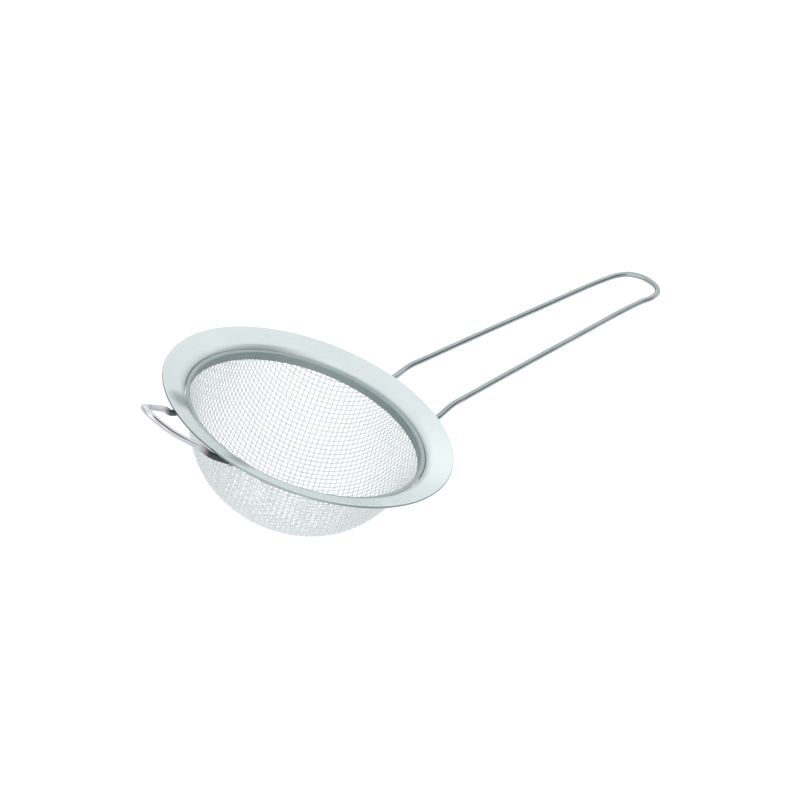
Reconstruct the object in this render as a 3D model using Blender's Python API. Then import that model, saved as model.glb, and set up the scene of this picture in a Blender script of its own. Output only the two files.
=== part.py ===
"""Wide-rimmed tea strainer with a wire handle and a wire rest hook.

It stands as it is put down on a table, on the bottom of its bowl and the end of its handle.
The pieces are made in the rim's own frame, rim axis up and handle along +X, and an empty tilts them.
Metres, +Z up.
"""

import math

import bmesh
import bpy
from mathutils import Matrix, Vector

MM = 0.001

# Pressed rim: a flange that rises outwards from a rolled-down throat. Z is 0 at the flange's lip.
LIP_RADIUS = 47.75 * MM
FLANGE_SLOPE = 0.33
SHEET = 0.7 * MM
ROLL_START = 42.2 * MM
ROLL_RADIUS = 4.2 * MM
THROAT_BOTTOM = -5.1 * MM
LIP_ROUND = 0.3 * MM

# Woven bowl, as one shell as thick as the cloth: (radius, height) down its outer face in mm.
BOWL_PROFILE = (
    (39.08, -6.6),
    (37.3, -10.8),
    (35.15, -16.0),
    (33.3, -20.0),
    (31.0, -24.0),
    (27.8, -28.0),
    (23.1, -32.0),
    (15.9, -36.0),
    (0.0, -39.15),
)
BOWL_TOP = -4.25 * MM
CLOTH = 0.5 * MM

# Band that clamps the cloth's edge inside the throat.
BAND_SHEET = 0.3 * MM
BAND_TOP = -4.1 * MM
BAND_BOTTOM = -6.93 * MM
GAP = 0.3 * MM

# Handle and hook are bent from the same wire.
WIRE_RADIUS = 1.0 * MM
WIRE_END_RADIUS = 43.2 * MM
WELD_RADIUS = 1.4 * MM
WELD_LENGTH = 0.9 * MM
WELD_TURN = math.radians(150)

# Handle: two legs that run out from under the flange, rise at HANDLE_RISE and meet in a loop.
HANDLE_ROOT_SPREAD = 11.9 * MM
HANDLE_START = (53.5 * MM, 11.4 * MM, 3.3 * MM)
HANDLE_RISE = math.radians(21.3)
HANDLE_SAG = 1.85 * MM
HANDLE_END_X = 140.4 * MM
HANDLE_END_SPREAD = 8.1 * MM
LEG_SHARES = (0.055, 0.26, 0.6, 1.0)
LOOP_BEND = ((145.3, 7.2), (149.6, 4.6), (152.2, -2.3), (150.6, -7.2), (147.0, -8.75))
LOOP_FAR_SPREAD = 8.45 * MM

# Hook: two arms that leave the rim under the flange, rise and meet in a rounded nose.
HOOK_ROOT_SPREAD = 12.5 * MM
HOOK_LIP_SPREAD = 10.6 * MM
HOOK_ARM = ((-50.6, 9.6, 0.4), (-54.4, 8.3, 2.3), (-58.3, 6.8, 4.1), (-62.1, 4.7, 6.1))
HOOK_NOSE = (-66.4 * MM, 0.0, 9.0 * MM)

# Flat that the cloth wears where it meets the table.
FLAT_DEPTH = 0.15 * MM
CUTTER_SIZE = 60 * MM

# Steel finishes: colour and roughness.
SATIN = ((0.70, 0.74, 0.74), 0.38)
WOVEN = ((0.74, 0.77, 0.77), 0.42)
DRAWN = ((0.60, 0.64, 0.64), 0.22)
POLISHED = ((0.66, 0.68, 0.70), 0.12)
WELDED = ((0.46, 0.48, 0.50), 0.45)

ROUND_STEPS = 72
BOWL_STEPS = 11
ROLL_STEPS = 6
FOOT_SAMPLES = 400
SHARP_ANGLE = math.radians(35)
WELD_SEGMENTS = 16
WELD_RINGS = 8
STEEPEST_TILT = math.radians(60)
TILT_HALVINGS = 40


def clear_scene():
    """Removes every object and its mesh or curve."""
    for obj in list(bpy.data.objects):
        bpy.data.objects.remove(obj, do_unlink=True)
    for mesh in list(bpy.data.meshes):
        bpy.data.meshes.remove(mesh)
    for curve in list(bpy.data.curves):
        bpy.data.curves.remove(curve)


def steel(name, colour, roughness):
    """A stainless steel material."""
    material = bpy.data.materials.new(name)
    material.use_nodes = True
    shader = material.node_tree.nodes["Principled BSDF"]
    shader.inputs["Base Color"].default_value = (*colour, 1.0)
    shader.inputs["Metallic"].default_value = 1.0
    shader.inputs["Roughness"].default_value = roughness
    material.diffuse_color = (*colour, 1.0)
    return material


def link(name, data, finish, parent):
    """Puts mesh or curve data in the scene as one named piece with its own material."""
    obj = bpy.data.objects.new(name, data)
    data.materials.append(steel(f"{name}_steel", *finish))
    bpy.context.scene.collection.objects.link(obj)
    obj.parent = parent
    return obj


def revolve(name, profile, finish, parent):
    """A ring or shell made by turning a closed loop of (radius, z) points about Z."""
    bm = bmesh.new()
    verts = [bm.verts.new((radius, 0.0, z)) for radius, z in profile]
    edges = [bm.edges.new((a, b)) for a, b in zip(verts, verts[1:] + verts[:1])]
    bmesh.ops.spin(
        bm,
        geom=verts + edges,
        axis=(0.0, 0.0, 1.0),
        cent=(0.0, 0.0, 0.0),
        angle=2 * math.pi,
        steps=ROUND_STEPS,
        use_merge=True,
    )
    bmesh.ops.remove_doubles(bm, verts=bm.verts, dist=0.01 * MM)
    bmesh.ops.recalc_face_normals(bm, faces=bm.faces)
    mesh = bpy.data.meshes.new(name)
    bm.to_mesh(mesh)
    bm.free()
    mesh.shade_smooth()
    mesh.set_sharp_from_angle(angle=SHARP_ANGLE)
    return link(name, mesh, finish, parent)


def flange_top(radius):
    """Height of the flange's upper face at this radius."""
    return -FLANGE_SLOPE * (LIP_RADIUS - radius)


def roll_centre():
    """Centre of the arc that turns the flange down into the throat."""
    slope = math.atan(FLANGE_SLOPE)
    start = Vector((ROLL_START, flange_top(ROLL_START)))
    return start + ROLL_RADIUS * Vector((math.sin(slope), -math.cos(slope)))


def rim_face():
    """The rim's upper and inner face, from the lip to the foot of the throat."""
    centre = roll_centre()
    first = math.pi / 2 + math.atan(FLANGE_SLOPE)
    last = math.pi - math.asin((THROAT_BOTTOM - centre.y) / ROLL_RADIUS)
    points = [Vector((LIP_RADIUS, 0.0))]
    for step in range(ROLL_STEPS + 1):
        angle = first + (last - first) * step / ROLL_STEPS
        points.append(centre + ROLL_RADIUS * Vector((math.cos(angle), math.sin(angle))))
    return points


def offset(points, distance):
    """The same line moved sideways, to its left as it runs."""
    moved = []
    for index, point in enumerate(points):
        before = points[max(index - 1, 0)]
        after = points[min(index + 1, len(points) - 1)]
        normals = [
            Vector((-(b - a).y, (b - a).x)).normalized()
            for a, b in ((before, point), (point, after))
            if (b - a).length > 0
        ]
        normal = sum(normals, Vector((0.0, 0.0))).normalized()
        moved.append(point + normal * (distance / normal.dot(normals[0])))
    return moved


def make_rim(finish, parent):
    """Flange and throat pressed from one sheet, with the lip's edges broken."""
    top = rim_face()
    bottom = offset(top, SHEET)
    inward = (top[1] - top[0]).normalized() * LIP_ROUND
    down = (bottom[0] - top[0]).normalized() * LIP_ROUND
    lip = [top[0] + inward, top[0] + down, bottom[0] - down, bottom[0] + inward]
    return revolve("rim", [*lip, *bottom[1:], *reversed(top[1:])], finish, parent)


def bowl_radius(z):
    """Radius of the bowl's outer face at this height: a smooth line through its profile."""
    heights = [height * MM for _, height in BOWL_PROFILE]
    squares = [(radius * MM) ** 2 for radius, _ in BOWL_PROFILE]
    if z >= heights[0]:
        return math.sqrt(squares[0])
    index = next(i for i in range(1, len(heights)) if z >= heights[i] or i == len(heights) - 1)
    slopes = []
    for i in (index - 1, index):
        low, high = max(i - 1, 0), min(i + 1, len(heights) - 1)
        slopes.append((squares[high] - squares[low]) / (heights[high] - heights[low]))
    span = heights[index] - heights[index - 1]
    t = (z - heights[index - 1]) / span
    square = (
        (2 * t**3 - 3 * t**2 + 1) * squares[index - 1]
        + (t**3 - 2 * t**2 + t) * span * slopes[0]
        + (3 * t**2 - 2 * t**3) * squares[index]
        + (t**3 - t**2) * span * slopes[1]
    )
    return math.sqrt(max(square, 0.0))


def bowl_outline(steps):
    """The bowl's outer line, from under the band to its foot on the axis."""
    top, foot = BOWL_PROFILE[0][1] * MM, BOWL_PROFILE[-1][1] * MM
    heights = [top + (foot - top) * math.sin(math.pi / 2 * step / steps) for step in range(steps)]
    return [*(Vector((bowl_radius(z), z)) for z in heights), Vector((0.0, foot))]


def bowl_lines():
    """The bowl's outer and inner lines, from its cut edge to its axis."""
    outline = bowl_outline(BOWL_STEPS)
    outer = [Vector((outline[0].x, BOWL_TOP)), *outline]
    inner = offset(outer, -CLOTH)
    inner[-1].x = 0.0
    return outer, inner


def make_bowl(finish, parent):
    """The bowl as a shell, closed at its foot and open at its top."""
    outer, inner = bowl_lines()
    bm = bmesh.new()
    rings = [ring(bm, radius, z) for radius, z in [*reversed(inner[:-1]), *outer[:-1]]]
    for a, b in zip(rings, rings[1:]):
        bridge(bm, a, b)
    cap(bm, rings[-1], outer[-1][1])
    cap(bm, rings[0], inner[-1][1])
    bmesh.ops.recalc_face_normals(bm, faces=bm.faces)
    mesh = bpy.data.meshes.new("mesh_bowl")
    bm.to_mesh(mesh)
    bm.free()
    mesh.shade_smooth()
    mesh.set_sharp_from_angle(angle=SHARP_ANGLE)
    return link("mesh_bowl", mesh, finish, parent)


def ring(bm, radius, z):
    """A level circle of vertices."""
    turns = [2 * math.pi * step / ROUND_STEPS for step in range(ROUND_STEPS)]
    return [bm.verts.new((radius * math.cos(a), radius * math.sin(a), z)) for a in turns]


def bridge(bm, first, second):
    """A wall of quads between two rings."""
    for index in range(ROUND_STEPS):
        after = (index + 1) % ROUND_STEPS
        bm.faces.new((first[index], first[after], second[after], second[index]))


def cap(bm, edge, z):
    """A fan that closes a ring at the axis."""
    middle = bm.verts.new((0.0, 0.0, z))
    for index in range(ROUND_STEPS):
        bm.faces.new((edge[index], edge[(index + 1) % ROUND_STEPS], middle))


def make_band(finish, parent):
    """Flat ring that holds the cloth against the throat."""
    outer = BOWL_PROFILE[0][0] * MM - CLOTH - GAP
    inner = outer - BAND_SHEET
    profile = [(inner, BAND_TOP), (inner, BAND_BOTTOM), (outer, BAND_BOTTOM), (outer, BAND_TOP)]
    return revolve("clamp_band", profile, finish, parent)


def under_flange(radius):
    """Height of a wire's centre line where it runs along the flange's underside."""
    clearance = SHEET + GAP + WIRE_RADIUS
    return flange_top(radius) - clearance * math.hypot(1.0, FLANGE_SLOPE)


def on_circle(radius, y):
    """X of the point at this radius and this Y, on the handle's side."""
    return math.sqrt(radius**2 - y**2)


def leg_height(x):
    """Height of the handle's centre line beyond the flange."""
    run = x - HANDLE_START[0]
    share = run / (HANDLE_END_X - HANDLE_START[0])
    return HANDLE_START[2] + run * math.tan(HANDLE_RISE) - HANDLE_SAG * share**2


def leg_points(end_spread):
    """Centre line of one leg, from its weld to the start of the loop's bend."""
    root_x = on_circle(WIRE_END_RADIUS, HANDLE_ROOT_SPREAD)
    lip_x = on_circle(LIP_RADIUS, HANDLE_ROOT_SPREAD)
    points = [
        (root_x, HANDLE_ROOT_SPREAD, under_flange(WIRE_END_RADIUS)),
        (lip_x, HANDLE_ROOT_SPREAD - GAP / 2, under_flange(LIP_RADIUS)),
        HANDLE_START,
    ]
    for share in LEG_SHARES:
        x = HANDLE_START[0] + (HANDLE_END_X - HANDLE_START[0]) * share
        spread = HANDLE_START[1] + (end_spread - HANDLE_START[1]) * share
        points.append((x, spread, leg_height(x)))
    return points


def handle_points():
    """Centre line of the handle, from one weld round the loop to the other."""
    left = leg_points(HANDLE_END_SPREAD)
    right = mirrored(leg_points(LOOP_FAR_SPREAD))
    bend = [(x * MM, y * MM, leg_height(x * MM)) for x, y in LOOP_BEND]
    return [*left, *bend, *reversed(right)]


def hook_points():
    """Centre line of the hook, from one weld round its nose to the other."""
    root_x = -on_circle(WIRE_END_RADIUS, HOOK_ROOT_SPREAD)
    lip_x = -on_circle(LIP_RADIUS, HOOK_LIP_SPREAD)
    arm = [
        (root_x, HOOK_ROOT_SPREAD, under_flange(WIRE_END_RADIUS)),
        (lip_x, HOOK_LIP_SPREAD, under_flange(LIP_RADIUS)),
    ]
    arm += [(x * MM, y * MM, z * MM) for x, y, z in HOOK_ARM]
    return [*arm, HOOK_NOSE, *reversed(mirrored(arm))]


def mirrored(points):
    """The same points on the other side of the handle's plane."""
    return [(x, -y, z) for x, y, z in points]


def make_wire(name, points, finish, parent):
    """A bent round wire along a smooth line through these points."""
    curve = bpy.data.curves.new(name, "CURVE")
    curve.dimensions = "3D"
    curve.resolution_u = 5
    curve.bevel_depth = WIRE_RADIUS
    curve.bevel_resolution = 2
    curve.use_fill_caps = True
    spline = curve.splines.new("BEZIER")
    spline.bezier_points.add(len(points) - 1)
    for knot, point in zip(spline.bezier_points, points):
        knot.co = point
        knot.handle_left_type = "AUTO"
        knot.handle_right_type = "AUTO"
    return link(name, curve, finish, parent)


def make_weld(name, wire_end, finish, parent):
    """Weld bead between a wire's end and the back of the roll, flat against the roll."""
    bm = bmesh.new()
    bmesh.ops.create_uvsphere(bm, u_segments=WELD_SEGMENTS, v_segments=WELD_RINGS, radius=1.0)
    bmesh.ops.scale(bm, verts=bm.verts, vec=(WELD_RADIUS, WELD_RADIUS, WELD_LENGTH))
    mesh = bpy.data.meshes.new(name)
    bm.to_mesh(mesh)
    bm.free()
    mesh.shade_smooth()
    weld = link(name, mesh, finish, parent)
    outward = Vector((wire_end[0], wire_end[1], 0.0)).normalized()
    to_roll = outward * math.cos(WELD_TURN) + Vector((0.0, 0.0, math.sin(WELD_TURN)))
    middle = roll_centre()
    reach = ROLL_RADIUS - SHEET - GAP - WELD_LENGTH
    weld.location = outward * middle.x + Vector((0.0, 0.0, middle.y)) + to_roll * reach
    weld.rotation_euler = to_roll.to_track_quat("Z", "Y").to_euler()
    return weld


def own_points(obj):
    """The object's evaluated vertices, in the frame of its parent."""
    evaluated = obj.evaluated_get(bpy.context.evaluated_depsgraph_get())
    mesh = evaluated.to_mesh()
    points = [obj.matrix_local @ vertex.co for vertex in mesh.vertices]
    evaluated.to_mesh_clear()
    return points


def lowest(points, tilt):
    """The lowest point once the strainer leans this far towards its handle."""
    turned = Matrix.Rotation(tilt, 3, "Y")
    return min((turned @ point for point in points), key=lambda point: point.z)


def resting_tilt(bowl, handle):
    """The lean at which the handle's end comes down to the bowl's worn flat."""
    low, high = 0.0, STEEPEST_TILT
    for _ in range(TILT_HALVINGS):
        tilt = (low + high) / 2
        if lowest(handle, tilt).z > lowest(bowl, tilt).z + FLAT_DEPTH:
            low = tilt
        else:
            high = tilt
    return tilt


def bowl_foot(tilt):
    """Where the bowl's true outline is lowest at this lean, in the leaning frame turned level."""
    turned = Matrix.Rotation(tilt, 3, "Y")
    line = [turned @ Vector((point.x, 0.0, point.y)) for point in bowl_outline(FOOT_SAMPLES)]
    return min(line, key=lambda point: point.z)


def wear_flat(bowl):
    """Takes the bowl's small flat off at table height."""
    bm = bmesh.new()
    bmesh.ops.create_cube(bm, size=CUTTER_SIZE)
    mesh = bpy.data.meshes.new("table_cutter")
    bm.to_mesh(mesh)
    bm.free()
    cutter = bpy.data.objects.new("table_cutter", mesh)
    bpy.context.scene.collection.objects.link(cutter)
    cutter.location.z = -CUTTER_SIZE / 2
    cutter.hide_render = True
    cutter.display_type = "WIRE"
    cut = bowl.modifiers.new("worn_flat", "BOOLEAN")
    cut.operation = "DIFFERENCE"
    cut.solver = "EXACT"
    cut.object = cutter


def main():
    clear_scene()
    strainer = bpy.data.objects.new("strainer", None)
    bpy.context.scene.collection.objects.link(strainer)

    make_rim(SATIN, strainer)
    make_band(SATIN, strainer)
    bowl = make_bowl(WOVEN, strainer)
    handle_line = handle_points()
    hook_line = hook_points()
    handle = make_wire("handle_loop", handle_line, DRAWN, strainer)
    make_wire("rest_hook", hook_line, POLISHED, strainer)
    make_weld("handle_weld_left", handle_line[0], WELDED, strainer)
    make_weld("handle_weld_right", handle_line[-1], WELDED, strainer)
    make_weld("hook_weld_left", hook_line[0], WELDED, strainer)
    make_weld("hook_weld_right", hook_line[-1], WELDED, strainer)

    bpy.context.view_layer.update()
    bowl_shape = own_points(bowl)
    handle_shape = own_points(handle)
    tilt = resting_tilt(bowl_shape, handle_shape)
    strainer.rotation_euler = (0.0, tilt, 0.0)
    strainer.location = (-bowl_foot(tilt).x, 0.0, -lowest(handle_shape, tilt).z)
    wear_flat(bowl)


main()
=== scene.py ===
"""Looks of a wide-rimmed tea strainer: woven bowl, pressed rim, bent wire handle and rest hook.

Pieces are built in the strainer's own frame, in millimetres: Z is the rim's axis with 0 at its lip,
and X points to the handle. That frame is found again from the CAD rim, and leans as the rim does.
"""

import itertools
import math

import bpy
import numpy as np
from mathutils import Matrix, Vector


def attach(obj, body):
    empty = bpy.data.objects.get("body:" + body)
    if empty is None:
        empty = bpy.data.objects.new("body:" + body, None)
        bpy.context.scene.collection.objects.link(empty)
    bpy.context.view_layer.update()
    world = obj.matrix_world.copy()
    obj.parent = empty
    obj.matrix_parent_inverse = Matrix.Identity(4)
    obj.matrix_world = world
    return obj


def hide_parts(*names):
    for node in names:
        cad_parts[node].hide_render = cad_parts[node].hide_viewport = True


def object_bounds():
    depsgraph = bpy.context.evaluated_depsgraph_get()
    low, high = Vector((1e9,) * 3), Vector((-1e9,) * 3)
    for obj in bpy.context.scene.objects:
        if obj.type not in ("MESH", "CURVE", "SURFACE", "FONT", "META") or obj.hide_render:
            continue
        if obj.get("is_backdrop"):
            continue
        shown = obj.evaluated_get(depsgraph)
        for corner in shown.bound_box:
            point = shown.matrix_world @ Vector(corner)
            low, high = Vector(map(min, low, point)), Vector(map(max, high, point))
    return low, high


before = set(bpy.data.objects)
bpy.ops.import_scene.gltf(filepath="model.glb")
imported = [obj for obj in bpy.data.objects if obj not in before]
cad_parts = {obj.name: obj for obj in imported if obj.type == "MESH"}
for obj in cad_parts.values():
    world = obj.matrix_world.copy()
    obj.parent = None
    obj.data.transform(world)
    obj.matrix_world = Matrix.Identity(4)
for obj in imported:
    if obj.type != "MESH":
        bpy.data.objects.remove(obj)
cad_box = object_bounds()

MM = 0.001

# Pressed rim: a flange that rises outwards from a rolled-down throat.
LIP_RADIUS = 47.75
FLANGE_SLOPE = 0.33
SHEET = 0.7
ROLL_START = 42.2
ROLL_RADIUS = 4.2
THROAT_BOTTOM = -5.1
EDGE_ROUND = 0.22
LIP_ROUND = 0.3  # of the CAD rim, whose highest point is this far in from the lip's sharp corner
FLANGE_STEPS = 8
ROLL_STEPS = 28
EDGE_STEPS = 5

# Clamp band: a strip down inside the cloth, with a flare over the cloth's cut edge.
BAND_OUTER = 38.28
BAND_SHEET = 0.22
BAND_EDGE = 0.09
BAND_BOTTOM = -6.93
FLARE_REACH = 39.5
FLARE_TOP = -3.97
# (out from the strip, down from the flare's top)
FLARE_LINE = ((0.38, 0.07), (0.12, 0.17), (0.02, 0.38), (0.0, 0.65))
FLARE_LIP = (0.35, 0.03)  # in from the flare's edge, and down
WALL_STEPS = 6
LAP_START = 4.0  # degrees: the strip's end rides up over its start, and drops off it
LAP_END = 9.9
LAP_RISE = 0.16

# Woven cloth: (radius, height) down the bowl's outer face.
BOWL_PROFILE = (
    (39.08, -6.6),
    (37.3, -10.8),
    (35.15, -16.0),
    (33.3, -20.0),
    (31.0, -24.0),
    (27.8, -28.0),
    (23.1, -32.0),
    (15.9, -36.0),
    (0.0, -39.15),
)
BOWL_TOP = -4.25
CLOTH_WIRE = 0.2  # radius
CRIMP = 1.02  # how far a wire swings to each side of the cloth, in wire radii
PITCH_ALONG = 1.60
PITCH_ACROSS = 1.77
WEAVE_TURN = math.radians(42)
NET_REACH = 40  # crossings from the foot along each quarter
NET_ABOVE = 3.0  # how far the net goes on past the cloth's cut edge
WIRE_SIDES = 6
CROSSING_STEPS = 4
SOLVE_ROUNDS = 8
SOLVED = 1e-7

# Bent wire of handle and hook.
WIRE_RADIUS = 1.0
BEND_STEPS = 24
BENT_SIDES = 20
# (out from the end, share of the radius)
WIRE_END = ((0.08, 0.98), (0.15, 0.92), (0.19, 0.80), (0.20, 0.02))
GAP = 0.3
WIRE_END_RADIUS = 43.2
HANDLE_ROOT_SPREAD = 11.9
HANDLE_START = (53.5, 11.4, 3.3)
HANDLE_RISE = math.radians(21.3)
HANDLE_SAG = 1.85
HANDLE_END_X = 140.4
HANDLE_END_SPREAD = 8.1
LEG_SHARES = (0.055, 0.26, 0.6, 1.0)
LOOP_BEND = ((145.3, 7.2), (149.6, 4.6), (152.2, -2.3), (150.6, -7.2), (147.0, -8.75))
LOOP_FAR_SPREAD = 8.45
HOOK_ROOT_SPREAD = 12.5
HOOK_LIP_SPREAD = 10.6
HOOK_ARM = ((-50.6, 9.6, 0.4), (-54.4, 8.3, 2.3), (-58.3, 6.8, 4.1), (-62.1, 4.7, 6.1))
HOOK_NOSE = (-66.4, 0.0, 9.0)

# Camera, in the strainer's frame: directions of image right, image down and the view.
VIEW_RIGHT = (0.6945, -0.6278, 0.3515)
VIEW_DOWN = (-0.1071, -0.5733, -0.8123)
VIEW_AHEAD = (0.7114, 0.5265, -0.4655)
EYE_OFFSET = (-0.5781, 0.0660, 9.8210)
LENS = 67.5
SENSOR = 36.0

ROUND_STEPS = 288

# Darker steel on the lip's edge and down the throat, and rougher steel down the throat, where polishing
# doesn't reach. The darkening down the throat is painted shade in the rolled recess. On the sheared lip
# it is partly a duller cut edge and partly painted shade.
SHADE_AND_DULL_STEEL = (0.10, 0.15, 0.15)
EDGE_SHADE_AND_DULL = 0.6
EDGE_SHADE_AND_DULL_FROM = LIP_RADIUS - 0.12
EDGE_SHADE_AND_DULL_TO = LIP_RADIUS + 0.02
THROAT_SHADE = 0.5
THROAT_SHADE_FROM = -3.2
THROAT_SHADE_TO = -4.5
THROAT_ROUGH = 0.5
THROAT_ROUGH_FROM = -1.6

# Painted shade around the hook's welds, on the sheet and on the hook's wire next to them, where the
# wire runs under the flange.
MARK_RADIUS = 39.5
MARK_SPREAD = 15.0
MARK_SHADE = 0.55
MARK_FULL = 2.5
MARK_GONE = 6.5
MARK_RAGGED = 2.0
ROOT_SHADE = 0.92
ROOT_SHADE_STEEL = (0.03, 0.035, 0.04)
ROOT_SHADE_GONE = -52.5
ROOT_SHADE_FULL = -48.5

# Grain of the steel, as noise scales in object space and, for rings, across and around the rim.
RING_ACROSS = 2600.0
RING_AROUND = 1.2
RING_DEEP = 1.3  # how much more a step in height counts than one in radius
RING_SHARE = 0.35
SHEET_CLOUD = 90.0
WIRE_CLOUD = 160.0
CLOTH_CLOUD = 220.0
COLOUR_SPREAD = (0.35, 0.65)  # the part of a noise that the colours are spread over
GLOSS_SPREAD = (0.3, 0.7)  # and the part that the roughness is
DIE_LINES = (0.08, 30.0, 1.0)  # along the wire in mm, around it in turns

# Soft areas of the studio: azimuth, elevation, full and vanishing angle in degrees, brightness.
STUDIO_BASE = 0.88
STUDIO_AREAS = (
    (-130.0, 30.0, 12.0, 50.0, 1.15),
    (135.0, 0.0, 15.0, 60.0, 0.52),
    (30.0, 42.0, 20.0, 50.0, 0.88),
    (30.0, 20.0, 5.0, 22.0, 0.86),
    (50.0, 5.0, 8.0, 26.0, 1.10),
    (-60.0, 20.0, 12.0, 33.0, 0.12),
)
BACKDROP = 1.0  # what the camera sees of the studio
FLOOR_SEEN = 0.92  # glow of the floor to the camera, and to every other ray
FLOOR_GLOW = 0.40
FLOOR_HALF = 6.0  # metres
FLOOR_DROP = 0.0001


# ---------------------------------------------------------------- frame

def strainer_frame(rim):
    """The strainer's own frame in the row frame, from the CAD rim's vertices."""
    points = np.unique(np.round([v.co for v in rim.data.vertices], 6), axis=0)
    middle = points.mean(0)
    axis = np.linalg.eigh(np.cov((points - middle).T))[1][:, 0]
    axis = axis * np.sign(axis[2])
    along = np.cross((0.0, 1.0, 0.0), axis)
    along /= np.linalg.norm(along)
    across = np.cross(axis, along)
    lip_drop = LIP_ROUND * FLANGE_SLOPE / math.hypot(1.0, FLANGE_SLOPE)
    height = ((points - middle) @ axis).max() + lip_drop * MM
    origin = middle + axis * height
    turned = Matrix((along, across, axis)).transposed().to_4x4()
    return Matrix.Translation(origin) @ turned


PLACE = strainer_frame(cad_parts["rim"])


# ---------------------------------------------------------------- mesh helpers

def piece(name, points, faces, material, node, uvs=None):
    """A smooth-shaded piece that stands for a CAD node. Points are in mm in the strainer's frame."""
    turn = np.array(PLACE.to_3x3())
    points = np.asarray(points) * MM @ turn.T + np.array(PLACE.translation)
    points[:, 2] = np.maximum(points[:, 2], 0.0)  # worn flat where it rests on the table
    mesh = bpy.data.meshes.new(name)
    mesh.from_pydata(points.tolist(), [], faces)
    mesh.update()
    mesh.shade_smooth()
    if uvs is not None:
        layer = mesh.uv_layers.new(name="wire")
        corners = np.empty(len(mesh.loops), np.int32)
        mesh.loops.foreach_get("vertex_index", corners)
        layer.data.foreach_set("uv", np.asarray(uvs, np.float32)[corners].ravel())
    mesh.materials.append(material)
    obj = bpy.data.objects.new(name, mesh)
    bpy.context.scene.collection.objects.link(obj)
    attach(obj, "root")
    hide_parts(node)


def grid_faces(rows, columns, wrap_rows, wrap_columns, start=0):
    """Quads over a grid of vertices numbered row by row."""
    faces = []
    for i in range(rows if wrap_rows else rows - 1):
        for j in range(columns if wrap_columns else columns - 1):
            a = start + i * columns + j
            b = start + i * columns + (j + 1) % columns
            c = start + (i + 1) % rows * columns + (j + 1) % columns
            d = start + (i + 1) % rows * columns + j
            faces.append((a, b, c, d))
    return faces


def capped_tube_faces(rings, sides, start=0):
    """Faces of a round tube whose vertices are numbered ring by ring, with both ends closed."""
    last = start + (rings - 1) * sides
    caps = [tuple(start + k for k in range(sides)), tuple(last + sides - 1 - k for k in range(sides))]
    return grid_faces(rings, sides, False, True, start) + caps


def lathe(outline):
    """Points of a closed outline turned about Z, one row for each step."""
    turns = np.linspace(0, 2 * math.pi, ROUND_STEPS, endpoint=False)
    outline = np.array([tuple(p) for p in outline])
    points = np.empty((len(turns), len(outline), 3))
    points[..., 0] = np.cos(turns)[:, None] * outline[:, 0]
    points[..., 1] = np.sin(turns)[:, None] * outline[:, 0]
    points[..., 2] = outline[:, 1]
    return points


def turned_piece(name, points, material, node):
    """A piece from the rows of points that lathe gives."""
    steps, count = points.shape[:2]
    piece(name, points.reshape(-1, 3), grid_faces(steps, count, True, True), material, node)


# ---------------------------------------------------------------- rim and band

def flange_top(radius):
    """Height of the flange's upper face at this radius."""
    return -FLANGE_SLOPE * (LIP_RADIUS - radius)


def rim_line():
    """The middle of the rim's sheet, from the lip to the foot of the throat."""
    slope = math.atan(FLANGE_SLOPE)
    down = Vector((math.sin(slope), -math.cos(slope)))
    centre = Vector((ROLL_START, flange_top(ROLL_START))) + ROLL_RADIUS * down
    first = math.pi / 2 + slope
    last = math.pi - math.asin((THROAT_BOTTOM - centre.y) / ROLL_RADIUS)
    lip = Vector((LIP_RADIUS, 0.0)) + down * SHEET / 2
    radius = ROLL_RADIUS - SHEET / 2
    arc = [first + (last - first) * step / ROLL_STEPS for step in range(ROLL_STEPS + 1)]
    roll = [centre + radius * Vector((math.cos(angle), math.sin(angle))) for angle in arc]
    flange = [lip.lerp(roll[0], step / FLANGE_STEPS) for step in range(FLANGE_STEPS)]
    return flange + roll


def sheet_section(line, thickness, edge):
    """Closed outline of a sheet along a middle line, with its cut edges rounded."""
    line = np.array([tuple(p) for p in line])
    ahead = np.gradient(line, axis=0)
    ahead /= np.linalg.norm(ahead, axis=1)[:, None]
    side = np.stack((-ahead[:, 1], ahead[:, 0]), 1)
    line[0] += ahead[0] * edge
    line[-1] -= ahead[-1] * edge
    half = thickness / 2
    quarter = [math.pi / 2 * step / EDGE_STEPS for step in range(1, EDGE_STEPS)]
    outline = []
    for end, sign in ((-1, 1), (0, -1)):
        outline += list((line + side * half * sign)[::sign])
        out, up = ahead[end] * sign, side[end] * sign
        near, far = line[end] + up * (half - edge), line[end] - up * (half - edge)
        outline += [near + edge * (up * math.cos(a) + out * math.sin(a)) for a in quarter]
        outline += [far + edge * (out * math.cos(a) - up * math.sin(a)) for a in quarter]
    return outline


def make_rim(material):
    points = lathe(sheet_section(rim_line(), SHEET, EDGE_ROUND))
    turned_piece("rim_pressed", points, material, "rim")


def band_line():
    """The middle of the band's strip, from the flare's edge to the foot."""
    middle = BAND_OUTER - BAND_SHEET / 2
    lip = [(FLARE_REACH, FLARE_TOP), (FLARE_REACH - FLARE_LIP[0], FLARE_TOP - FLARE_LIP[1])]
    bend = [(middle + out, FLARE_TOP - down) for out, down in FLARE_LINE[:-1]]
    wall_top = FLARE_TOP - FLARE_LINE[-1][1]
    return lip + bend + [(middle, z) for z in np.linspace(wall_top, BAND_BOTTOM, WALL_STEPS)]


def make_band(material):
    points = lathe(sheet_section(band_line(), BAND_SHEET, BAND_EDGE))
    turns = np.degrees(np.arctan2(points[..., 1], points[..., 0]))
    lap = np.clip((turns - LAP_START) / (LAP_END - LAP_START), 0.0, 1.0) * (turns < LAP_END)
    points[..., :2] *= (1.0 - lap * LAP_RISE / BAND_OUTER)[..., None]
    turned_piece("band_rolled", points, material, "clamp_band")


# ---------------------------------------------------------------- woven bowl

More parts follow.
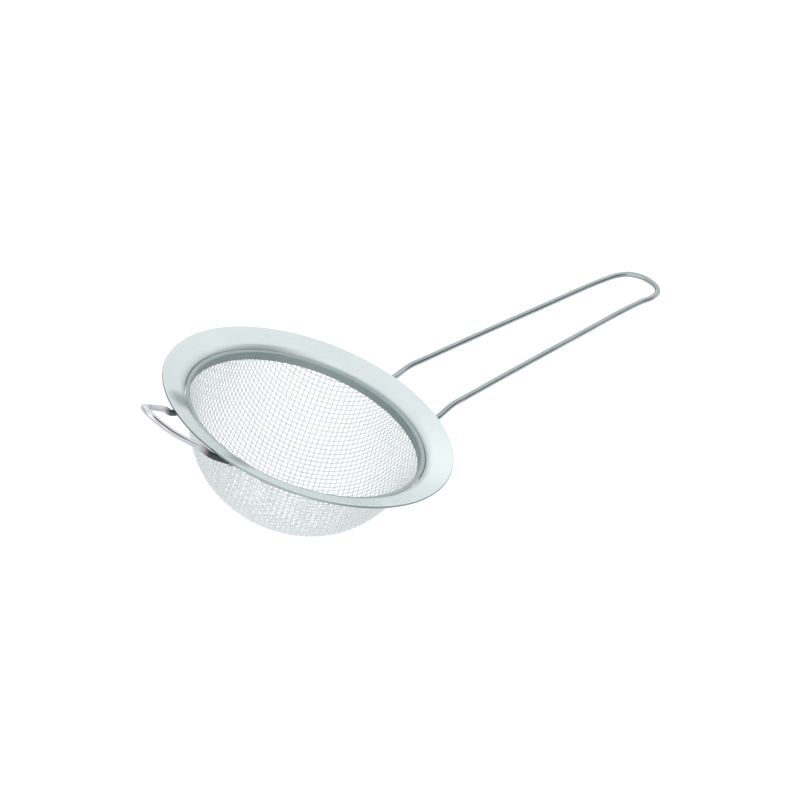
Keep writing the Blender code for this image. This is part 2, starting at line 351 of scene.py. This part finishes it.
def cloth_profile():
    """Heights and squared radii down the cloth's middle surface, with the slope at each."""
    radii, heights = np.array(BOWL_PROFILE).T
    slopes = np.gradient(radii**2, heights)
    out = np.stack((2 * radii, -slopes))
    out /= np.linalg.norm(out, axis=0)
    radii = radii - out[0] * 2 * CLOTH_WIRE
    heights = heights - out[1] * 2 * CLOTH_WIRE
    radii[-1] = 0.0
    return heights, radii**2, np.gradient(radii**2, heights)


CLOTH_HEIGHTS, CLOTH_SQUARES, CLOTH_SLOPES = cloth_profile()
CLOTH_BOTTOM = CLOTH_HEIGHTS[-1]


def cloth_level(point):
    """Zero on the cloth's middle surface, and its gradient. Above the bowl it goes on as a cylinder."""
    x, y, z = point
    if z >= CLOTH_HEIGHTS[0]:
        square, slope = CLOTH_SQUARES[0], 0.0
    else:
        k = min(int(np.searchsorted(-CLOTH_HEIGHTS, -z)), len(CLOTH_HEIGHTS) - 1)
        span = CLOTH_HEIGHTS[k] - CLOTH_HEIGHTS[k - 1]
        t = (z - CLOTH_HEIGHTS[k - 1]) / span
        a, b = CLOTH_SQUARES[k - 1], CLOTH_SQUARES[k]
        p, q = CLOTH_SLOPES[k - 1] * span, CLOTH_SLOPES[k] * span
        square = (2 * t**3 - 3 * t**2 + 1) * a + (t**3 - 2 * t**2 + t) * p
        square += (3 * t**2 - 2 * t**3) * b + (t**3 - t**2) * q
        slope = (6 * t**2 - 6 * t) * (a - b) + (3 * t**2 - 4 * t + 1) * p + (3 * t**2 - 2 * t) * q
        slope /= span
    return x * x + y * y - square, np.array((2 * x, 2 * y, -slope))


def onto_cloth(point):
    for _ in range(4):
        value, gradient = cloth_level(point)
        point = point - gradient * (value / (gradient @ gradient))
    return point


def walk(direction, pitch):
    """Crossings along one wire through the bowl's foot, a pitch apart."""
    points = [np.array((0.0, 0.0, CLOTH_BOTTOM))]
    step = np.array(direction) * pitch
    while points[-1][2] < BOWL_TOP + NET_ABOVE:
        there = points[-1] + step
        for _ in range(6):
            there = onto_cloth(there)
            step = there - points[-1]
            there = points[-1] + step * (pitch / np.linalg.norm(step))
        step = there - points[-1]
        points.append(there)
    return points


def crossing(first, second, corner):
    """The point on the cloth a pitch from each of two neighbours, away from their shared corner.

    None if no such point is near, as happens where the net has no room left.
    """
    guess = first + second - corner
    there = guess
    for _ in range(SOLVE_ROUNDS):
        value, gradient = cloth_level(there)
        rows = np.array((2 * (there - first), 2 * (there - second), gradient))
        misses = (
            (there - first) @ (there - first) - PITCH_ALONG**2,
            (there - second) @ (there - second) - PITCH_ACROSS**2,
            value,
        )
        step = np.linalg.solve(rows, misses)
        there = there - step
        if abs(step).max() < SOLVED:
            break
    return there if np.linalg.norm(there - guess) < PITCH_ALONG else None


def weave_net():
    """Crossings of the cloth as it drapes over the bowl: every pitch keeps its length."""
    net = {(0, 0): np.array((0.0, 0.0, CLOTH_BOTTOM))}
    one = (math.cos(WEAVE_TURN), math.sin(WEAVE_TURN), 0.0)
    two = (-one[1], one[0], 0.0)
    for sign in (1, -1):
        for index, point in enumerate(walk([sign * v for v in one], PITCH_ALONG)):
            net[sign * index, 0] = point
        for index, point in enumerate(walk([sign * v for v in two], PITCH_ACROSS)):
            net[0, sign * index] = point
    for sign_i, sign_j in itertools.product((1, -1), repeat=2):
        for i, j in itertools.product(range(1, NET_REACH), repeat=2):
            steps = ((i - 1, j), (i, j - 1), (i - 1, j - 1))
            near = [net.get((sign_i * k, sign_j * m)) for k, m in steps]
            if any(point is None for point in near):
                continue
            if max(near[0][2], near[1][2]) > BOWL_TOP + NET_ABOVE:
                continue
            there = crossing(*near)
            if there is not None:
                net[sign_i * i, sign_j * j] = there
    return net


def wire_runs(net, along_first):
    """Each wire of one family as a list of crossings in order, with their over or under signs."""
    runs = {}
    for (i, j), point in net.items():
        line, order = (j, i) if along_first else (i, j)
        runs.setdefault(line, {})[order] = point
    sign = 1.0 if along_first else -1.0
    for line in sorted(runs):
        orders = sorted(runs[line])
        points = np.array([runs[line][o] for o in orders])
        signs = np.array([sign * (1.0 if (line + o) % 2 == 0 else -1.0) for o in orders])
        yield points, signs


def crimped(points, signs):
    """A wire's centre line through its crossings, over and under in turn."""
    padded = np.vstack((2 * points[0] - points[1], points, 2 * points[-1] - points[-2]))
    centre = []
    for k in range(len(points) - 1):
        p0, p1, p2, p3 = padded[k : k + 4]
        for s in range(CROSSING_STEPS):
            t = s / CROSSING_STEPS
            base = 0.5 * (
                2 * p1
                + (p2 - p0) * t
                + (2 * p0 - 5 * p1 + 4 * p2 - p3) * t**2
                + (3 * p1 - p0 - 3 * p2 + p3) * t**3
            )
            normal = cloth_level(base)[1]
            normal /= np.linalg.norm(normal)
            lift = signs[k] * math.cos(math.pi * t)
            centre.append(base + normal * lift * CLOTH_WIRE * CRIMP)
    normal = cloth_level(points[-1])[1]
    centre.append(points[-1] + normal / np.linalg.norm(normal) * signs[-1] * CLOTH_WIRE)
    return np.array(centre)


def at_height(inside, outside, height):
    """The point between two others that lies at this height."""
    share = (height - inside[2]) / (outside[2] - inside[2])
    return inside + share * (outside - inside)


def trimmed(centre):
    """A centre line cut off at the cloth's edge, and ending on it. None if too little is left."""
    below = np.flatnonzero(centre[:, 2] < BOWL_TOP)
    if len(below) < 3:
        return None
    first, last = below[[0, -1]]
    line = list(centre[first : last + 1])
    if first > 0:
        line.insert(0, at_height(centre[first], centre[first - 1], BOWL_TOP))
    if last + 1 < len(centre):
        line.append(at_height(centre[last], centre[last + 1], BOWL_TOP))
    return np.array(line)


def tube(centre, radii, sides):
    """Points of a round tube along a centre line, one ring per point, with no twist."""
    tangents = np.gradient(centre, axis=0)
    tangents /= np.linalg.norm(tangents, axis=1)[:, None]
    side = np.cross(tangents[0], (0.0, 0.0, 1.0))
    if np.linalg.norm(side) < 0.1:
        side = np.cross(tangents[0], (1.0, 0.0, 0.0))
    angles = np.linspace(0, 2 * math.pi, sides, endpoint=False)
    rings = []
    for point, tangent, radius in zip(centre, tangents, radii):
        side = side - tangent * (side @ tangent)
        side /= np.linalg.norm(side)
        other = np.cross(tangent, side)
        ring = np.outer(np.cos(angles), side) + np.outer(np.sin(angles), other)
        rings.append(point + radius * ring)
    return np.array(rings)


def make_cloth(name, net, along_first, material):
    """One family of the cloth's wires as a single piece."""
    points, faces, count = [], [], 0
    for crossings, signs in wire_runs(net, along_first):
        if len(crossings) < 3:
            continue
        line = trimmed(crimped(crossings, signs))
        if line is None or len(line) < 4:
            continue
        rings = tube(line, np.full(len(line), CLOTH_WIRE), WIRE_SIDES)
        faces += capped_tube_faces(len(rings), WIRE_SIDES, count)
        points.append(rings.reshape(-1, 3))
        count += len(rings) * WIRE_SIDES
    piece(name, np.vstack(points), faces, material, "mesh_bowl")


# ---------------------------------------------------------------- handle, hook and welds

def under_flange(radius):
    clearance = SHEET + GAP + WIRE_RADIUS
    return flange_top(radius) - clearance * math.hypot(1.0, FLANGE_SLOPE)


def on_circle(radius, y):
    return math.sqrt(radius**2 - y**2)


def leg_height(x):
    run = x - HANDLE_START[0]
    share = run / (HANDLE_END_X - HANDLE_START[0])
    return HANDLE_START[2] + run * math.tan(HANDLE_RISE) - HANDLE_SAG * share**2


def leg_points(end_spread):
    root = HANDLE_ROOT_SPREAD
    points = [
        (on_circle(WIRE_END_RADIUS, root), root, under_flange(WIRE_END_RADIUS)),
        (on_circle(LIP_RADIUS, root), root - GAP / 2, under_flange(LIP_RADIUS)),
        HANDLE_START,
    ]
    for share in LEG_SHARES:
        x = HANDLE_START[0] + (HANDLE_END_X - HANDLE_START[0]) * share
        spread = HANDLE_START[1] + (end_spread - HANDLE_START[1]) * share
        points.append((x, spread, leg_height(x)))
    return points


def mirrored(points):
    return [(x, -y, z) for x, y, z in points]


def handle_points():
    left = leg_points(HANDLE_END_SPREAD)
    right = mirrored(leg_points(LOOP_FAR_SPREAD))
    bend = [(x, y, leg_height(x)) for x, y in LOOP_BEND]
    return [*left, *bend, *reversed(right)]


def hook_points():
    root, lip = HOOK_ROOT_SPREAD, HOOK_LIP_SPREAD
    arm = [
        (-on_circle(WIRE_END_RADIUS, root), root, under_flange(WIRE_END_RADIUS)),
        (-on_circle(LIP_RADIUS, lip), lip, under_flange(LIP_RADIUS)),
        *HOOK_ARM,
    ]
    return [*arm, HOOK_NOSE, *reversed(mirrored(arm))]


def smooth_line(knots):
    """Blender's own automatic Bezier line through the knots, as points."""
    curve = bpy.data.curves.new("line", "CURVE")
    curve.dimensions = "3D"
    curve.resolution_u = BEND_STEPS
    spline = curve.splines.new("BEZIER")
    spline.bezier_points.add(len(knots) - 1)
    for knot, point in zip(spline.bezier_points, knots):
        knot.co = point
        knot.handle_left_type = "AUTO"
        knot.handle_right_type = "AUTO"
    holder = bpy.data.objects.new("line", curve)
    bpy.context.scene.collection.objects.link(holder)
    bpy.context.view_layer.update()
    mesh = holder.evaluated_get(bpy.context.evaluated_depsgraph_get()).to_mesh()
    points = np.array([v.co for v in mesh.vertices], float)
    bpy.data.objects.remove(holder)
    bpy.data.curves.remove(curve)
    return points


def make_wire(name, knots, material, node):
    """A bent round wire with broken end edges. Its UVs are the length along it, and turns around it."""
    line = smooth_line(knots)
    out, share = np.array(WIRE_END).T
    centre, radii = [line], [np.full(len(line), WIRE_RADIUS)]
    for end, inner in ((0, 1), (-1, -2)):
        ahead = line[end] - line[inner]
        ahead /= np.linalg.norm(ahead)
        tip, shrunk = line[end] + out[:, None] * ahead, share * WIRE_RADIUS
        if end == 0:
            centre.insert(0, tip[::-1])
            radii.insert(0, shrunk[::-1])
        else:
            centre.append(tip)
            radii.append(shrunk)
    centre = np.vstack(centre)
    rings = tube(centre, np.concatenate(radii), BENT_SIDES)
    uvs = np.empty((len(rings), BENT_SIDES, 2))
    strides = np.linalg.norm(np.diff(centre, axis=0), axis=1)
    uvs[..., 0] = np.concatenate(([0], np.cumsum(strides)))[:, None]
    uvs[..., 1] = np.arange(BENT_SIDES) / BENT_SIDES
    faces = capped_tube_faces(len(rings), BENT_SIDES)
    piece(name, rings.reshape(-1, 3), faces, material, node, uvs.reshape(-1, 2))


# ---------------------------------------------------------------- materials

class Nodes:
    """Short names for building one material's node tree."""

    def __init__(self, name, metallic=0.0):
        self.material = bpy.data.materials.new(name)
        self.material.use_nodes = True
        self.tree = self.material.node_tree
        self.inputs = self.tree.nodes["Principled BSDF"].inputs
        self.inputs["Metallic"].default_value = metallic

    def add(self, kind, **settings):
        node = self.tree.nodes.new(kind)
        for key, value in settings.items():
            setattr(node, key, value)
        return node

    def join(self, output, socket):
        self.tree.links.new(output, socket)

    def fill(self, socket, value):
        """Links the socket, or sets it to a number or a colour."""
        if isinstance(value, bpy.types.NodeSocket):
            self.join(value, socket)
        elif isinstance(value, tuple):
            socket.default_value = (*value, 1.0)
        else:
            socket.default_value = value

    def math(self, operation, *values):
        node = self.add("ShaderNodeMath", operation=operation)
        for socket, value in zip(node.inputs, values):
            self.fill(socket, value)
        return node.outputs[0]

    def coordinates(self):
        return self.add("ShaderNodeTexCoord").outputs["Object"]

    def own_frame(self):
        """X, Y and Z in the strainer's frame, in metres."""
        node = self.add("ShaderNodeMapping", vector_type="TEXTURE")
        node.inputs["Location"].default_value = PLACE.translation
        node.inputs["Rotation"].default_value = PLACE.to_euler()
        self.join(self.coordinates(), node.inputs["Vector"])
        return self.split(node.outputs[0])

    def split(self, vector):
        node = self.add("ShaderNodeSeparateXYZ")
        self.join(vector, node.inputs[0])
        return node.outputs

    def combine(self, *values):
        node = self.add("ShaderNodeCombineXYZ")
        for socket, value in zip(node.inputs, values):
            self.join(value, socket)
        return node.outputs[0]

    def noise(self, vector, scale, detail, rough):
        node = self.add("ShaderNodeTexNoise")
        node.inputs["Scale"].default_value = scale
        node.inputs["Detail"].default_value = detail
        node.inputs["Roughness"].default_value = rough
        self.join(vector, node.inputs["Vector"])
        return node.outputs["Fac"]

    def blend(self, first, second, share):
        """Two values added, the first in the given share."""
        parts = self.math("MULTIPLY", first, share), self.math("MULTIPLY", second, 1 - share)
        return self.math("ADD", *parts)

    def between(self, value, low, high, to_low, to_high):
        node = self.add("ShaderNodeMapRange")
        for socket, given in zip(node.inputs, (value, low, high, to_low, to_high)):
            self.fill(socket, given)
        return node.outputs[0]

    def mix(self, share, first, second):
        node = self.add("ShaderNodeMix", data_type="RGBA")
        self.join(share, node.inputs[0])
        self.fill(node.inputs[6], first)
        self.fill(node.inputs[7], second)
        return node.outputs[2]

    def bump(self, height, strength, distance):
        node = self.add("ShaderNodeBump")
        node.inputs["Strength"].default_value = strength
        node.inputs["Distance"].default_value = distance
        self.join(height, node.inputs["Height"])
        self.join(node.outputs["Normal"], self.inputs["Normal"])


def polar(nodes):
    """Coordinates across and around the strainer's axis, with no seam, then radius and height in mm."""
    x, y, z = nodes.own_frame()
    flat = nodes.combine(x, y)
    turned = nodes.add("ShaderNodeVectorMath", operation="NORMALIZE")
    nodes.join(flat, turned.inputs[0])
    far = nodes.add("ShaderNodeVectorMath", operation="LENGTH")
    nodes.join(flat, far.inputs[0])
    far = far.outputs["Value"]
    cosine, sine, _ = nodes.split(turned.outputs[0])
    reach = nodes.math("ADD", far, nodes.math("MULTIPLY", z, RING_DEEP))
    around = [nodes.math("MULTIPLY", turn, RING_AROUND) for turn in (cosine, sine)]
    across = nodes.math("MULTIPLY", reach, RING_ACROSS)
    return nodes.combine(*around, across), nodes.math("DIVIDE", far, MM), nodes.math("DIVIDE", z, MM)


def weld_shade(nodes, cloud):
    """How far painted shade darkens the sheet around the two welds of the hook."""
    x, y, _ = nodes.own_frame()
    aside = nodes.math("SUBTRACT", nodes.math("ABSOLUTE", y), MARK_SPREAD * MM)
    along = nodes.math("ADD", x, MARK_RADIUS * MM)
    squares = [nodes.math("POWER", value, 2.0) for value in (along, aside)]
    apart = nodes.math("POWER", nodes.math("ADD", *squares), 0.5)
    ragged = nodes.math("ADD", apart, nodes.math("MULTIPLY", cloud, MARK_RAGGED * MM))
    return nodes.between(ragged, MARK_FULL * MM, MARK_GONE * MM, MARK_SHADE, 0.0)


def pressed_steel(name, light, dark, rough_low, rough_high):
    """Satin sheet with faint rings and cloudy wear, rougher down the throat. Painted shade darkens it
    down the throat and around the hook's welds, and also darkens the lip's edge, which is partly a
    duller sheared edge.
    """
    nodes = Nodes(name, metallic=1.0)
    turned, radius, height = polar(nodes)
    rings = nodes.noise(turned, scale=1.0, detail=4.0, rough=0.6)
    cloud = nodes.noise(nodes.coordinates(), SHEET_CLOUD, detail=4.0, rough=0.55)
    wear = nodes.blend(rings, cloud, RING_SHARE)
    fresh = nodes.mix(nodes.between(wear, *COLOUR_SPREAD, 0.0, 1.0), dark, light)
    # Painted shade: the throat and the lip's edge darken towards a dark teal, the edge partly as a
    # duller sheared edge.
    edge = nodes.between(radius, EDGE_SHADE_AND_DULL_FROM, EDGE_SHADE_AND_DULL_TO, 0.0, EDGE_SHADE_AND_DULL)
    throat = nodes.between(height, THROAT_SHADE_FROM, THROAT_SHADE_TO, 0.0, THROAT_SHADE)
    shade_and_dull = nodes.math("MAXIMUM", nodes.math("MAXIMUM", edge, throat), weld_shade(nodes, cloud))
    nodes.join(nodes.mix(shade_and_dull, fresh, SHADE_AND_DULL_STEEL), nodes.inputs["Base Color"])
    satin = nodes.between(wear, *GLOSS_SPREAD, rough_low, rough_high)
    rolled = nodes.between(height, THROAT_ROUGH_FROM, THROAT_SHADE_FROM, 0.0, THROAT_ROUGH)
    nodes.join(nodes.math("MAXIMUM", satin, rolled), nodes.inputs["Roughness"])
    nodes.bump(rings, strength=0.10, distance=0.00003)
    return nodes.material


def drawn_steel(name, light, dark, rough_low, rough_high, shaded_roots=False):
    """Wire with fine die lines along it. When asked, painted shade darkens it near the welds, where the
    wire runs under the flange.
    """
    nodes = Nodes(name, metallic=1.0)
    lines = nodes.add("ShaderNodeMapping")
    lines.inputs["Scale"].default_value = DIE_LINES
    nodes.join(nodes.add("ShaderNodeUVMap", uv_map="wire").outputs[0], lines.inputs[0])
    streaks = nodes.noise(lines.outputs[0], scale=1.0, detail=3.0, rough=0.6)
    cloud = nodes.noise(nodes.coordinates(), WIRE_CLOUD, detail=3.0, rough=0.5)
    wear = nodes.blend(streaks, cloud, 0.5)
    colour = nodes.mix(nodes.between(wear, *COLOUR_SPREAD, 0.0, 1.0), dark, light)
    if shaded_roots:
        # Painted shade: the wire darkens near the welds, where it runs in the flange's shadow.
        shade_share = nodes.between(nodes.own_frame()[0], ROOT_SHADE_GONE * MM, ROOT_SHADE_FULL * MM, 0.0, ROOT_SHADE)
        colour = nodes.mix(shade_share, colour, ROOT_SHADE_STEEL)
    nodes.join(colour, nodes.inputs["Base Color"])
    gloss = nodes.between(wear, *GLOSS_SPREAD, rough_low, rough_high)
    nodes.join(gloss, nodes.inputs["Roughness"])
    nodes.bump(streaks, strength=0.08, distance=0.00002)
    return nodes.material


def woven_steel(name, light, dark, rough_low, rough_high):
    """Pickled wire: pale and matt, a little cloudy over the cloth."""
    nodes = Nodes(name, metallic=0.45)
    cloud = nodes.noise(nodes.coordinates(), CLOTH_CLOUD, detail=3.0, rough=0.5)
    pale = nodes.mix(nodes.between(cloud, *GLOSS_SPREAD, 0.0, 1.0), dark, light)
    nodes.join(pale, nodes.inputs["Base Color"])
    gloss = nodes.between(cloud, *GLOSS_SPREAD, rough_low, rough_high)
    nodes.join(gloss, nodes.inputs["Roughness"])
    return nodes.material


def floor_white(name):
    """A floor that glows white to the camera, and less to the rays that light the object."""
    nodes = Nodes(name)
    cloud = nodes.noise(nodes.coordinates(), scale=3.0, detail=2.0, rough=0.5)
    nodes.join(nodes.mix(cloud, (0.40, 0.40, 0.405), (0.42, 0.42, 0.425)), nodes.inputs["Base Color"])
    nodes.inputs["Roughness"].default_value = 0.9
    nodes.inputs["Emission Color"].default_value = (1.0, 1.0, 1.0, 1.0)
    seen = nodes.add("ShaderNodeLightPath").outputs["Is Camera Ray"]
    glow = nodes.between(seen, 0.0, 1.0, FLOOR_GLOW, FLOOR_SEEN)
    nodes.join(glow, nodes.inputs["Emission Strength"])
    return nodes.material


# ---------------------------------------------------------------- studio

def make_camera():
    turn = PLACE.to_3x3()
    rows = np.array((VIEW_RIGHT, VIEW_DOWN, VIEW_AHEAD))
    eye = -rows.T @ np.array(EYE_OFFSET) * LIP_RADIUS * MM
    camera = bpy.data.cameras.new("camera")
    camera.lens = LENS
    camera.sensor_width = SENSOR
    camera.clip_start = 0.02
    camera.clip_end = 20.0
    holder = bpy.data.objects.new("camera", camera)
    bpy.context.scene.collection.objects.link(holder)
    axes = [turn @ Vector(axis) for axis in (rows[0], -rows[1], -rows[2])]
    look = Matrix(axes).transposed().to_4x4()
    holder.matrix_world = Matrix.Translation(PLACE @ Vector(eye)) @ look
    bpy.context.scene.camera = holder


def area_mask(tree, azimuth, elevation, full, gone):
    """1 in the middle of a soft round area of the studio and 0 outside it. Angles are in degrees."""
    turn, lift = math.radians(azimuth), math.radians(elevation)
    dot = tree.nodes.new("ShaderNodeVectorMath")
    dot.operation = "DOT_PRODUCT"
    flat = math.cos(lift)
    dot.inputs[1].default_value = (flat * math.cos(turn), flat * math.sin(turn), math.sin(lift))
    tree.links.new(tree.nodes.new("ShaderNodeTexCoord").outputs["Generated"], dot.inputs[0])
    mask = tree.nodes.new("ShaderNodeMapRange")
    mask.interpolation_type = "SMOOTHSTEP"
    mask.inputs["From Min"].default_value = math.cos(math.radians(gone))
    mask.inputs["From Max"].default_value = math.cos(math.radians(full))
    tree.links.new(dot.outputs["Value"], mask.inputs["Value"])
    return mask.outputs[0]


def make_world():
    """A studio of soft areas, laid over each other in turn. The camera sees it plain white."""
    world = bpy.data.worlds.new("studio")
    bpy.context.scene.world = world
    world.use_nodes = True
    tree = world.node_tree
    layers = [(area_mask(tree, *area), brightness) for *area, brightness in STUDIO_AREAS]
    seen = tree.nodes.new("ShaderNodeLightPath").outputs["Is Camera Ray"]
    value = None
    for share, brightness in [*layers, (seen, BACKDROP)]:
        mix = tree.nodes.new("ShaderNodeMix")
        mix.inputs[2].default_value = STUDIO_BASE
        mix.inputs[3].default_value = brightness
        tree.links.new(share, mix.inputs[0])
        if value is not None:
            tree.links.new(value, mix.inputs[2])
        value = mix.outputs[0]
    tree.links.new(value, tree.nodes["Background"].inputs["Color"])


def make_floor():
    mesh = bpy.data.meshes.new("floor")
    corners = ((-1, -1), (1, -1), (1, 1), (-1, 1))
    points = [(x * FLOOR_HALF, y * FLOOR_HALF, -FLOOR_DROP) for x, y in corners]
    mesh.from_pydata(points, [], [(0, 1, 2, 3)])
    mesh.materials.append(floor_white("studio_white"))
    floor = bpy.data.objects.new("floor", mesh)
    bpy.context.scene.collection.objects.link(floor)
    floor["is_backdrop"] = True


# ---------------------------------------------------------------- build

# Each steel: its lighter and darker colour, then its lowest and highest roughness.
make_rim(pressed_steel("rim_satin", (0.87, 0.95, 0.95), (0.80, 0.885, 0.885), 0.24, 0.38))
make_band(pressed_steel("band_steel", (0.66, 0.745, 0.75), (0.57, 0.65, 0.655), 0.22, 0.34))

net = weave_net()
cloth = woven_steel("cloth_steel", (0.95, 0.985, 0.99), (0.90, 0.945, 0.95), 0.42, 0.58)
make_cloth("bowl_warp", net, True, cloth)
make_cloth("bowl_weft", net, False, cloth)

# The handle's steel is darker than the hook's: a painted dark reflection down the handle's core.
drawn = drawn_steel("handle_steel", (0.54, 0.62, 0.63), (0.40, 0.47, 0.48), 0.14, 0.26)
make_wire("handle_wire", handle_points(), drawn, "handle_loop")
# The hook's wire gets painted shade near its welds, where it runs under the flange.
polished = drawn_steel("hook_steel", (0.88, 0.88, 0.93), (0.76, 0.77, 0.82), 0.06, 0.14, shaded_roots=True)
make_wire("hook_wire", hook_points(), polished, "rest_hook")

welded = pressed_steel("weld_steel", (0.60, 0.62, 0.64), (0.40, 0.42, 0.44), 0.3, 0.5)
for name in ("handle_weld_left", "handle_weld_right", "hook_weld_left", "hook_weld_right"):
    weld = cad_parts[name]
    weld.data.materials.clear()
    weld.data.materials.append(welded)

make_camera()
make_world()
make_floor()
bpy.context.scene.view_settings.view_transform = "Standard"

boxes = {"cad": cad_box, "visual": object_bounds()}
{key: [list(map(float, corner)) for corner in box] for key, box in boxes.items()}
